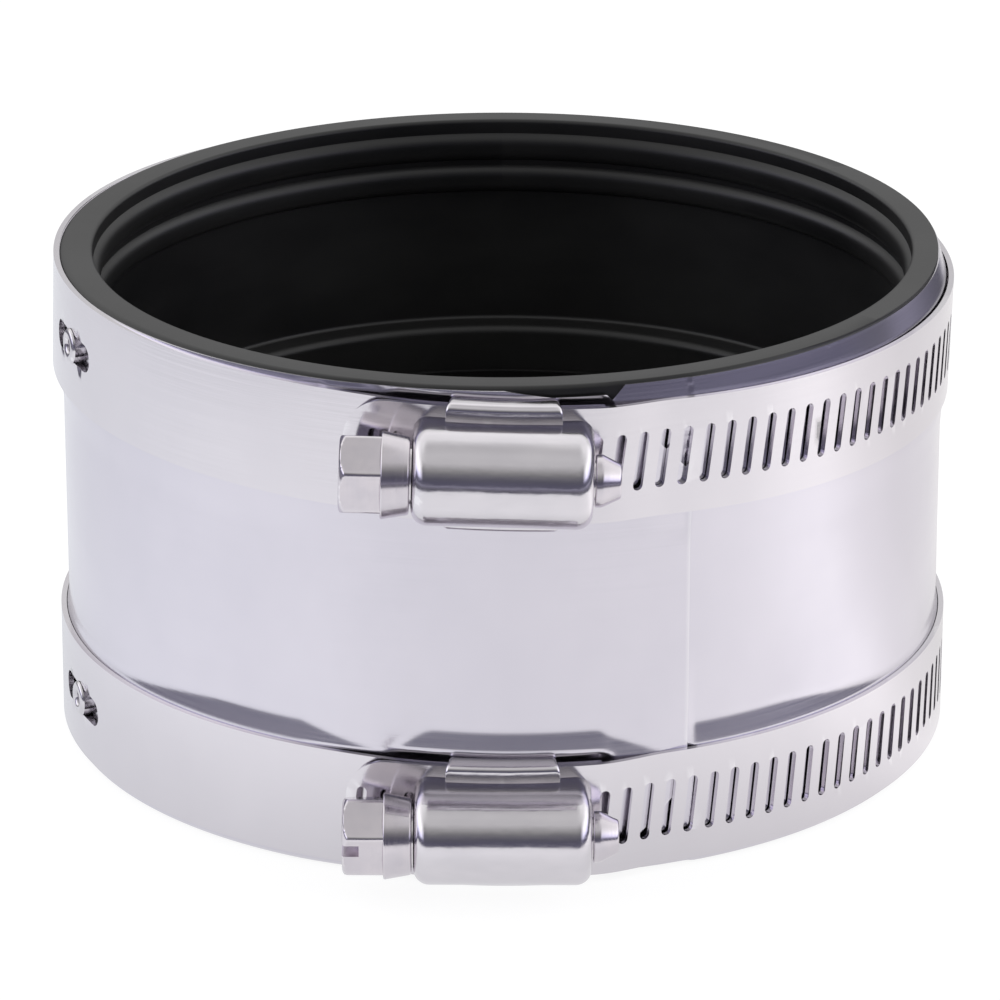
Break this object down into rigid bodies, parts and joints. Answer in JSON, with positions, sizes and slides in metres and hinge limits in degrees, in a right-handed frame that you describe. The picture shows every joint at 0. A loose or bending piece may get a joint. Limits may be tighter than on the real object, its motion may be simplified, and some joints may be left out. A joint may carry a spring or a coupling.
{
  "type": "shielded pipe coupling",
  "caption": "Rubber sleeve in a lapped stainless shield, drawn onto two pipe ends by worm-drive band clamps.",
  "frame": {"origin": "on the pipe axis at mid-height, the centre of the pipe stop", "axes": "+Z along the pipe axis and up, -Y towards the clamp screws, +X towards the screws' tips"},
  "size_m": [0.1002, 0.1096, 0.0556],
  "materials": {
    "rubber": "moulded, satin",
    "shield_steel": "bright rolled sheet",
    "band_steel": "bright rolled strip",
    "pressed_steel": "polished pressing",
    "screw_steel": "bright plated",
    "rivet_steel": "bright"
  },
  "bodies": {
    "root": {"rubber_sleeve": "rubber", "shield": "shield_steel", "upper_band": "band_steel", "upper_saddle": "pressed_steel", "upper_housing": "pressed_steel", "upper_rivet": "rivet_steel", "lower_band": "band_steel", "lower_saddle": "pressed_steel", "lower_housing": "pressed_steel", "lower_rivet": "rivet_steel"},
    "upper_screw": {"upper_screw": "screw_steel"},
    "lower_screw": {"lower_screw": "screw_steel"}
  },
  "joints": [
    {"name": "upper_screw_turn", "type": "hinge", "parent": "root", "child": "upper_screw", "pos_m": [0, -0.05455, 0.01985], "axis": [0.9996, 0, -0.0297], "continuous": true, "deforming": ["upper_band"]},
    {"name": "lower_screw_turn", "type": "hinge", "parent": "root", "child": "lower_screw", "pos_m": [0, -0.05455, -0.0204], "axis": [1, 0, -0.0035], "continuous": true, "deforming": ["lower_band"]}
  ]
}
